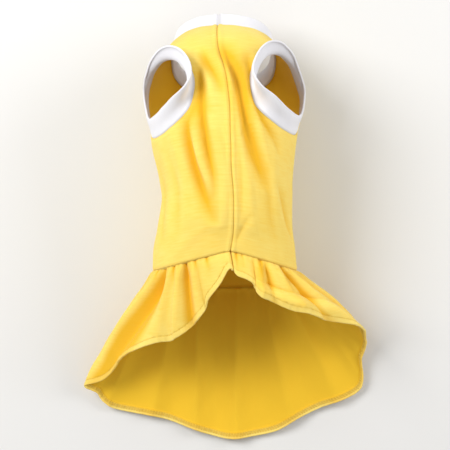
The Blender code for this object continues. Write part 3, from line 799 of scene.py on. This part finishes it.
# Armhole bands: the same folded rib round each armhole. It lies flat on the tail side of
# the hole, and elsewhere stands up and leans the way that the armhole faces.
SLEEVE_BAND_HEIGHT = 0.020
LEG_ACROSS = 0.14
LEG_FORWARD = 0.45
LEG_OUT = 0.90
BAND_FLATNESS = 1.8
BAND_COLUMNS = 300
BAND_ROWS = 26
BAND_DENT = 0.0006
DENT_PLACE = 0.45
DENT_WIDTH = 0.22
DENT_SIZE = 0.011


def make_sleeve_band(name, oval, finish):
    """Ring on the armhole's oval that turns from towards its middle to the way the armhole faces."""
    angle = np.arange(BAND_COLUMNS) * 2.0 * math.pi / BAND_COLUMNS
    turn, along = armhole_edge(oval, angle)
    normal, _, _ = frame_at(bodice_loop, turn, along)
    edge = bodice_surface(turn, along)
    run = unit(np.roll(edge, -1, axis=0) - np.roll(edge, 1, axis=0))
    inward = unit(np.cross(run, normal))
    leg = unit(np.array([math.copysign(LEG_ACROSS, oval[0]), LEG_FORWARD, LEG_OUT]))
    tail = np.maximum(np.sin(angle), 0.0)[:, None]
    lean = unit(leg + BAND_FLATNESS * tail ** 2 * inward)
    share, puff = trim_profile(BAND_ROWS)
    turned = np.sin(share * math.pi / 2.0)[:, None, None]
    share, puff = share[:, None, None], puff[:, None, None]
    heading = unit(inward * (1.0 - turned) + lean * turned)
    across, total = arc_lengths(edge)
    uneven_round = 0.5 + 0.5 * ripple(across, across, DENT_SIZE)
    dent = BAND_DENT * bell(share - DENT_PLACE, DENT_WIDTH) * uneven_round[None, :, None]
    grid = edge + heading * (SLEEVE_BAND_HEIGHT * share)
    grid = grid + unit(np.cross(heading, run)) * (puff - dent)
    lengths = share[:, :, 0] * SLEEVE_BAND_HEIGHT + np.zeros((1, BAND_COLUMNS))
    # Painted shade along the band's sewn edge
    return rounded_wall(name, grid, grid_normals(grid), RIB_WALL, np.tile(across, (BAND_ROWS, 1)),
                        lengths, total, {"seam": bell(lengths, TRIM_SHADE_WIDTH)}, finish)


for name, node, oval in (("sleeve_rib_left", "armhole_band_left", ARMHOLE_LEFT),
                         ("sleeve_rib_right", "armhole_band_right", ARMHOLE_RIGHT)):
    band = make_sleeve_band(name, oval, rib)
    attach(band, "root")
    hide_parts(node)

# Skirt: a curved strip of the same jersey, nearly twice as wide as the waist, gathered
# into the waist seam. It is cut short under the belly, where the two fronts part at a
# notch, and long behind. Its edge is turned in once and topstitched.
SEAM_GAP = 0.0003
SKIRT_SPREAD = 0.150
SKIRT_LENGTH = 0.200
HEM_DEPTH = 0.0062
HEM_EXTRA = 0.0010
HEM_STEP = 0.0008
HEM_MARGIN = 0.0010
HEM_PUCKER = 0.00025
PUCKERS_ROUND = 95.0
PUCKER_DRIFT = 17.0
FURROW_DEPTH = 0.0004
FURROW_WIDTH = 0.0005
# Share of painted shade along the topstitch furrow
STITCH_SHADE = 0.3
MARK_SOFTNESS = 0.0003
TOPSTITCH_HEIGHT = 0.0052
OVERLOCK_PITCH = 0.0029
OVERLOCK_TALL = 0.0046
# turn, x, y, z, puff
HEM_ROWS = np.array([
    (-180.0, 0.021, -0.993, -0.49, 0.00), (-168.0, -0.121, -0.969, -0.49, 0.00),
    (-158.0, -0.243, -0.938, -0.49, 0.00), (-145.0, -0.420, -0.889, -0.49, 0.00),
    (-120.0, -0.816, -0.825, -0.49, 0.01), (-108.0, -0.906, -0.756, -0.455, 0.03),
    (-97.0, -0.979, -0.708, -0.39, 0.04), (-90.0, -0.899, -0.665, -0.30, 0.05),
    (-82.0, -0.789, -0.560, -0.17, 0.06), (-62.0, -0.450, -0.456, 0.07, 0.06),
    (-52.0, -0.355, -0.442, 0.13, 0.05), (-43.0, -0.287, -0.409, 0.19, 0.05),
    (-34.0, -0.208, -0.353, 0.24, 0.04), (-26.0, -0.136, -0.292, 0.28, 0.04),
    (-18.0, -0.110, -0.233, 0.30, 0.03), (-9.0, -0.032, -0.155, 0.33, 0.02),
    (0.0, 0.030, -0.080, 0.345, 0.00), (6.0, 0.080, -0.115, 0.345, 0.01),
    (12.0, 0.138, -0.132, 0.34, 0.02), (19.0, 0.190, -0.160, 0.33, 0.03),
    (25.0, 0.215, -0.206, 0.32, 0.04), (33.0, 0.297, -0.239, 0.31, 0.05),
    (44.0, 0.430, -0.285, 0.27, 0.06), (54.0, 0.531, -0.301, 0.23, 0.07),
    (64.0, 0.636, -0.327, 0.16, 0.07), (73.0, 0.743, -0.350, 0.07, 0.07),
    (82.0, 0.857, -0.377, -0.07, 0.07), (89.0, 0.940, -0.400, -0.18, 0.06),
    (95.0, 0.988, -0.440, -0.30, 0.06), (104.0, 0.995, -0.517, -0.41, 0.05),
    (112.0, 0.982, -0.610, -0.46, 0.04), (120.0, 0.968, -0.717, -0.485, 0.03),
    (128.0, 0.860, -0.781, -0.49, 0.02), (137.0, 0.680, -0.827, -0.49, 0.00),
    (147.0, 0.537, -0.878, -0.49, 0.00), (158.0, 0.365, -0.951, -0.49, 0.00),
    (169.0, 0.161, -0.985, -0.49, 0.00),
])
# waist turn, hem turn, waist width, hem width, height
SKIRT_FOLDS = np.array([
    (-55.5, -86.0, 5.0, 10.5, -0.062),
    (-64.0, -98.0, 3.6, 5.0, 0.020),
    (-46.0, -64.0, 3.6, 6.0, 0.018),
    (-37.0, -47.0, 2.4, 4.0, 0.018),
    (-31.5, -36.0, 2.6, 5.0, -0.032),
    (-25.5, -29.0, 2.4, 3.2, 0.012),
    (-20.0, -24.0, 2.6, 3.6, -0.006),
    (-14.0, -16.0, 2.6, 4.0, 0.008),
    (20.0, 22.0, 2.6, 3.2, -0.012),
    (26.0, 27.0, 2.6, 3.2, 0.024),
    (31.0, 36.0, 2.4, 3.4, -0.024),
    (41.0, 52.0, 3.5, 4.5, 0.016),
    (48.5, 70.0, 3.8, 5.6, -0.036),
    (58.0, 82.0, 4.0, 5.0, 0.018),
    (70.0, 96.0, 4.0, 5.0, -0.016),
    (105.0, 108.0, 4.5, 6.0, -0.030),
    (117.0, 118.0, 4.0, 5.0, -0.012),
    (128.0, 130.0, 4.0, 5.0, -0.026),
    (140.0, 141.0, 4.0, 5.0, 0.006),
    (150.0, 151.0, 5.0, 6.0, -0.020),
    (163.0, 165.0, 4.0, 5.0, 0.006),
    (174.0, 175.0, 5.0, 6.0, -0.022),
    (-172.0, -173.0, 4.0, 5.0, 0.006),
    (-161.0, -160.0, 4.0, 6.0, -0.020),
    (-150.0, -149.0, 4.0, 5.0, 0.006),
    (-139.0, -138.0, 5.0, 5.0, -0.022),
    (-127.0, -126.0, 4.0, 5.0, 0.006),
    (-117.0, -117.0, 4.0, 5.0, -0.018),
    (-104.0, -104.0, 4.0, 6.0, -0.022),
])
FOLD_RISE = 0.33
ROLL_TURN = 54.0
ROLL_TURN_WIDTH = 28.0
ROLL_PLACE = 0.80
ROLL_WIDTH = 0.16
ROLL_HEIGHT = 0.022
ROLL_CREASE = 0.014
ROLL_CREASE_PLACE = 0.60
ROLL_CREASE_WIDTH = 0.045
# Gathers that show at the front: turn, width and depth in metres, reach in metres
FRONT_GATHERS = (
    (-61.0, 0.0016, 0.0022, 0.007), (-54.8, 0.0019, 0.0052, 0.014), (-48.5, 0.0013, 0.0016, 0.005),
    (-43.0, 0.0016, 0.0046, 0.009), (-37.5, 0.0012, 0.0016, 0.004), (-31.5, 0.0018, 0.0052, 0.014),
    (-27.0, 0.0012, 0.0016, 0.004), (-22.5, 0.0013, 0.0042, 0.006), (-17.5, 0.0011, 0.0012, 0.003),
    (-13.2, 0.0013, 0.0040, 0.008), (-8.0, 0.0010, 0.0010, 0.003), (7.2, 0.0013, 0.0040, 0.009),
    (11.8, 0.0011, 0.0030, 0.005), (16.5, 0.0011, 0.0012, 0.004), (21.0, 0.0011, 0.0012, 0.003),
    (26.8, 0.0017, 0.0054, 0.016), (33.5, 0.0012, 0.0014, 0.005), (40.0, 0.0012, 0.0014, 0.004),
    (48.5, 0.0018, 0.0054, 0.018), (56.0, 0.0013, 0.0020, 0.006), (63.0, 0.0015, 0.0026, 0.008),
)
SIDE_GATHERS = 36
SIDE_START = 70.0
SIDE_END = 293.0
# Middle, swing and pace of what is uneven from one side gather to the next
SIDE_SHIFT = (0.0, 1.6, 2.4)
SIDE_WIDTH = (0.0015, 0.0004, 1.7)
SIDE_DEPTH = (0.0030, 0.0012, 2.9)
SIDE_REACH = (0.011, 0.005, 3.7)
GATHER_START = 0.0012
GATHER_SPREAD = 0.012
# Gather crease depth that gets the full painted fold shade
GATHER_SHADE_DEPTH = 0.0026
GATHER_PUFF = 0.0018
GATHER_PUFF_REACH = 0.005
FRONT_SLIT = 0.0028
FRONT_SLIT_WIDTH = 0.0011
# Length of the painted shade at the front slit
SLIT_SHADE_LENGTH = 0.02
NOTCH_REACH = 0.030
RIPPLE_START = 0.01
RIPPLE_RADIUS = 0.11
SKIRT_COLUMNS = 560
SKIRT_ROWS = 66
HEM_GRID_ROWS = 14
FLAT_HEM_LENGTH = 0.80


def round_rows(rows, turn):
    """Smooth closed curve through rows keyed by turn in degrees, with a slope shared by neighbours."""
    keys, values = rows[:, 0], rows[:, 1:]
    count = len(keys)
    wrapped = (np.degrees(turn) - keys[0]) % 360.0 + keys[0]
    edges = np.append(keys, keys[0] + 360.0)
    low = np.clip(np.searchsorted(edges, wrapped, side="right") - 1, 0, count - 1)
    gap = np.diff(edges)
    here, prior, following = (gap[(low + shift) % count][..., None] for shift in (0, -1, 1))
    before, start, end, after = (values[(low + shift) % count] for shift in (-1, 0, 1, 2))
    leave = (end - before) * here / (here + prior)
    arrive = (after - start) * here / (here + following)
    part = ((wrapped - edges[low]) / gap[low])[..., None]
    square, cube = part ** 2, part ** 3
    curve = (2.0 * cube - 3.0 * square + 1.0) * start + (3.0 * square - 2.0 * cube) * end
    return curve + (cube - 2.0 * square + part) * leave + (cube - square) * arrive


def hem_place(turn):
    """Point of the hem below a turn of the waist, and how far the cloth swells on the way."""
    row = round_rows(HEM_ROWS, turn)
    waist_y = BODICE_LOOPS[-1, 0] * BODICE_LENGTH
    return np.stack([row[..., 0] * SKIRT_SPREAD, waist_y + row[..., 1] * SKIRT_LENGTH,
                     row[..., 2] * CHEST_DEPTH], axis=-1), row[..., 3]


def uneven(number, middle, swing, pace):
    """A middle value with a sine swing that never falls in step with the count."""
    return middle + swing * np.sin(number * pace)


def all_gathers():
    """The front gathers, and evenly spaced uneven ones round the sides and back."""
    number = np.arange(SIDE_GATHERS)
    turns = SIDE_START + (SIDE_END - SIDE_START) * number / (SIDE_GATHERS - 1)
    turns = turns + uneven(number, *SIDE_SHIFT)
    wide, deep, reach = (uneven(number, *measure) for measure in (SIDE_WIDTH, SIDE_DEPTH, SIDE_REACH))
    return np.concatenate([np.array(FRONT_GATHERS), np.stack([turns, wide, deep, reach], axis=1)])


def gather_creases(degrees, run):
    """Depth of the gathers' creases, which start at the waist seam, spread and die out along the cloth."""
    total = np.zeros(np.shape(run))
    for gather_turn, wide, deep, reach in all_gathers():
        away = np.radians((degrees - gather_turn + 180.0) % 360.0 - 180.0) * CHEST_WIDTH / 2.0
        spread = 1.0 + run / GATHER_SPREAD
        depth = deep * np.clip(run / GATHER_START, 0.0, 1.0) * np.exp(-run / reach)
        total = total + depth * crease(away, wide * spread)
    return total


def skirt_relief(turn, share, length):
    """Folds that run from waist to hem, the gathers' creases, and the front's soft roll."""
    degrees = np.degrees(wrap(turn))
    run = share * length
    rise = np.sin(np.minimum(share / FOLD_RISE, 1.0) * math.pi / 2.0)
    total = np.zeros(np.shape(run))
    for waist_turn, hem_turn, waist_width, hem_width, height in SKIRT_FOLDS:
        away = (degrees - waist_turn - (hem_turn - waist_turn) * share + 180.0) % 360.0 - 180.0
        width = waist_width + (hem_width - waist_width) * share
        shape = valley(away, width) if height < 0.0 else bell(away, width)
        total = total + height * SKIRT_LENGTH * rise * shape
    total = total - gather_creases(degrees, run)
    roll = np.exp(-((degrees - ROLL_TURN) / ROLL_TURN_WIDTH) ** 4)
    total = total + ROLL_HEIGHT * SKIRT_LENGTH * roll * bell(share - ROLL_PLACE, ROLL_WIDTH)
    return total - ROLL_CREASE * SKIRT_LENGTH * roll * crease(share - ROLL_CREASE_PLACE, ROLL_CREASE_WIDTH)


def skirt_surface(turn, share):
    """Straight lines from waist to hem, swollen and moved along the waist's normal by the relief."""
    end = np.ones(np.shape(turn))
    waist = bodice_surface(turn, end)
    normal, _, down = frame_at(bodice_loop, turn, end)
    waist = waist + down * SEAM_GAP
    hem, puff = hem_place(turn)
    length = np.linalg.norm(hem - waist, axis=-1)
    run = share * length
    relief = skirt_relief(turn, share, length) + np.sin(math.pi * share) * puff * length
    away_from_notch = np.clip(length / NOTCH_REACH, 0.0, 1.0)
    reached = run / GATHER_PUFF_REACH
    relief = relief + GATHER_PUFF * away_from_notch * reached * np.exp(1.0 - reached)
    fine = ripple(wrap(turn) * RIPPLE_RADIUS, run, RIPPLE_SIZE)
    relief = relief + RIPPLE_HEIGHT * np.minimum(run / RIPPLE_START, 1.0) * fine
    meeting = np.abs(wrap(turn - math.radians(WAIST_PEAK_TURN))) * CHEST_WIDTH / 2.0
    relief = relief - FRONT_SLIT * bell(meeting, FRONT_SLIT_WIDTH) * np.clip(run / GATHER_START, 0.0, 1.0)
    return waist + (hem - waist) * share[..., None] + normal * relief[..., None]


def skirt_grid():
    """Turns and shares of the skirt's grid, its last rows inside the turned hem."""
    even = np.arange(SKIRT_COLUMNS) * 2.0 * math.pi / SKIRT_COLUMNS
    turns = even - BELLY_CROWDING * np.sin(even)
    hem, _ = hem_place(turns)
    length = np.linalg.norm(hem - bodice_loop(turns, np.ones(SKIRT_COLUMNS)), axis=1)
    fold = 1.0 - (HEM_DEPTH + HEM_MARGIN) / length
    body = np.linspace(0.0, 1.0, SKIRT_ROWS + 1)[:-1, None] ** 1.15 * fold
    edge = fold + (1.0 - fold) * np.linspace(0.0, 1.0, HEM_GRID_ROWS)[:, None]
    share = np.concatenate([body, edge])
    return np.broadcast_to(turns, share.shape), share, share * length


def make_skirt(finish):
    """The grid as a double wall, thicker in the turned hem, with a furrow under the topstitching."""
    turn, share, run = skirt_grid()
    grid = skirt_surface(turn, share)
    normals = grid_normals(grid)
    to_edge = run[-1] - run
    turned = soft_step(to_edge - HEM_DEPTH, HEM_STEP / 4.0)
    stitched = bell(to_edge - TOPSTITCH_HEIGHT, FURROW_WIDTH)
    pucker = HEM_PUCKER * turned * np.sin(turn * PUCKERS_ROUND + np.sin(turn * PUCKER_DRIFT))
    grid = grid - normals * (FURROW_DEPTH * stitched - pucker + turned * HEM_EXTRA / 2.0)[..., None]
    wall = JERSEY_WALL + HEM_EXTRA * turned
    across = wrap(turn) / (2.0 * math.pi) * FLAT_HEM_LENGTH
    meeting = np.abs(wrap(turn - math.radians(WAIST_PEAK_TURN))) * CHEST_WIDTH / 2.0
    # Painted shade at the front slit, the waist seam and along the topstitch furrow
    slit_shade = bell(meeting, SEAM_SHADE_WIDTH) * (run < SLIT_SHADE_LENGTH)
    seam = np.maximum(np.maximum(bell(run, SEAM_SHADE_WIDTH), STITCH_SHADE * stitched), slit_shade)
    # Painted shade in the folds and the gathers' creases
    fold_shade = fold_shade_mark(skirt_relief(turn, share, run[-1] + np.zeros(run.shape)))
    gathered = gather_creases(np.degrees(wrap(turn)), run) / GATHER_SHADE_DEPTH
    fold_shade = np.maximum(fold_shade, np.clip(gathered, 0.0, 1.0))
    # The turned hem: painted paler outside as a highlight, and showing the outer face on the inside
    hem = soft_step(to_edge - TOPSTITCH_HEIGHT, MARK_SOFTNESS)
    # Painted shade under the overlock band on the inside of the hem
    from_middle = np.abs(to_edge - HEM_DEPTH + OVERLOCK_TALL / 2.0)
    overlock_shade = soft_step(from_middle - OVERLOCK_TALL / 2.0, MARK_SOFTNESS)
    made = rounded_wall("skirt_jersey", grid, normals, wall, across, run, FLAT_HEM_LENGTH,
                        {"seam": seam, "fold_shade": fold_shade, "hem": hem, "overlock_shade": overlock_shade}, finish)
    return made, grid, normals


skirt, skirt_points, skirt_normals = make_skirt(jersey)

# Hem threads: a row of topstitching on the outside of the turned hem, and on its inside
# the slanting loops that bind the raw edge. Both are spun polyester in the cloth's yellow.
TOPSTITCH_LENGTH = 0.0026
TOPSTITCH_GAP = 0.0007
TOPSTITCH_RADIUS = 0.00022
TOPSTITCH_LIFT = 0.0003
OVERLOCK_RADIUS = 0.00032
OVERLOCK_LIFT = 0.0004
OVERLOCK_SLANT = 0.0008
OVERLOCK_SETBACK = 0.0003
TWIST_SCALE = 900.0
THREAD_SIDES = 6
THREAD_RINGS = 6
THREAD_YELLOW = (0.96, 0.66, 0.06)


def at_places(column, row):
    """Skirt points and normals at fractional grid places, by blending the four corners round each."""
    low_row = np.clip(row.astype(int), 0, skirt_points.shape[0] - 2)
    low_column = np.floor(column).astype(int) % SKIRT_COLUMNS
    next_column = (low_column + 1) % SKIRT_COLUMNS
    down = (row - low_row)[:, None]
    over = (column - np.floor(column))[:, None]
    found = []
    for table in (skirt_points, skirt_normals):
        top = table[low_row, low_column] * (1.0 - over) + table[low_row, next_column] * over
        foot = table[low_row + 1, low_column] * (1.0 - over) + table[low_row + 1, next_column] * over
        found.append(top * (1.0 - down) + foot * down)
    return found[0], unit(found[1])


def hem_line(distances, up_from_edge, side):
    """Points on the outer or inner side of the hem, by distance round it and height above its edge."""
    edge = skirt_points[-1]
    steps = np.linalg.norm(np.roll(edge, -1, axis=0) - edge, axis=1)
    marks = np.concatenate([[0.0], np.cumsum(steps)])
    column = np.interp(distances % marks[-1], marks, np.arange(SKIRT_COLUMNS + 1))
    spacing = HEM_DEPTH + HEM_MARGIN
    row = skirt_points.shape[0] - 1 - up_from_edge / spacing * (HEM_GRID_ROWS - 1)
    points, normals = at_places(column, np.broadcast_to(row, column.shape))
    return points + side * normals * ((JERSEY_WALL + HEM_EXTRA) / 2.0), normals * side


def make_threads(name, start, end, lift, radius, finish):
    """Short bowed tubes, one for each start and end, all in one mesh with closed ends."""
    share = np.linspace(0.0, 1.0, THREAD_RINGS)
    bow = np.sin(math.pi * share)
    centre = start[:, None] + (end - start)[:, None] * share[None, :, None]
    centre = centre + lift[:, None] * bow[None, :, None]
    heading = unit(np.gradient(centre, axis=1))
    side = unit(np.cross(heading, lift[:, None] + 1e-9))
    rise = np.cross(side, heading)
    angle = np.arange(THREAD_SIDES) * 2.0 * math.pi / THREAD_SIDES
    thick = radius * np.clip(bow * 3.0, 0.35, 1.0)[None, :, None, None]
    ring = side[:, :, None] * np.cos(angle)[:, None] + rise[:, :, None] * np.sin(angle)[:, None]
    tubes = centre[:, :, None] + ring * thick
    count = len(start)
    number = np.arange(count * THREAD_RINGS * THREAD_SIDES).reshape(count, THREAD_RINGS, THREAD_SIDES)
    here, after = number[:, :-1], number[:, 1:]
    quads = np.stack([here, np.roll(here, -1, 2), np.roll(after, -1, 2), after], -1).reshape(-1, 4)
    mesh = bpy.data.meshes.new(name)
    caps = number[:, 0, ::-1].tolist() + number[:, -1].tolist()
    mesh.from_pydata(tubes.reshape(-1, 3).tolist(), [], quads.tolist() + caps)
    mesh.shade_smooth()
    mesh.materials.append(finish)
    made = bpy.data.objects.new(name, mesh)
    scene.collection.objects.link(made)
    return made


def thread_material(name, colour):
    """Twisted thread: fine slanting stripes of light and dark with a slight gloss."""
    made = plain_material(name, colour + (1.0,), 0.6)
    tree = made.node_tree
    place = add_node(tree, "ShaderNodeTexCoord")
    twist = add_node(tree, "ShaderNodeTexWave", bands_direction="DIAGONAL")
    twist.inputs["Scale"].default_value = TWIST_SCALE
    twist.inputs["Distortion"].default_value = 2.0
    tree.links.new(place.outputs["Object"], twist.inputs["Vector"])
    dark = tuple(0.72 * part for part in colour)
    tree.links.new(mix_colours(tree, twist.outputs["Fac"], dark, colour),
                   tree.nodes["Principled BSDF"].inputs["Base Color"])
    set_bump(tree, twist.outputs["Fac"], 0.0001, 0.5)
    return made


thread = thread_material("yellow_thread", THREAD_YELLOW)
hem_length = arc_lengths(skirt_points[-1])[1]

topstitch_count = int(hem_length / (TOPSTITCH_LENGTH + TOPSTITCH_GAP))
topstitch_start = np.arange(topstitch_count) * hem_length / topstitch_count
first, first_normal = hem_line(topstitch_start, TOPSTITCH_HEIGHT, 1.0)
second, _ = hem_line(topstitch_start + TOPSTITCH_LENGTH, TOPSTITCH_HEIGHT, 1.0)
topstitch = make_threads("hem_topstitch", first, second, first_normal * TOPSTITCH_LIFT, TOPSTITCH_RADIUS,
                         thread)

overlock_count = int(hem_length / OVERLOCK_PITCH)
overlock_place = np.arange(overlock_count) * hem_length / overlock_count
overlock_top = HEM_DEPTH - OVERLOCK_SETBACK
low_end, inner_normal = hem_line(overlock_place, overlock_top - OVERLOCK_TALL, -1.0)
high_end, _ = hem_line(overlock_place + OVERLOCK_SLANT, overlock_top, -1.0)
overlock = make_threads("hem_overlock", low_end, high_end, inner_normal * OVERLOCK_LIFT, OVERLOCK_RADIUS,
                        thread)

for piece in (skirt, topstitch, overlock):
    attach(piece, "root")
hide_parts("skirt")
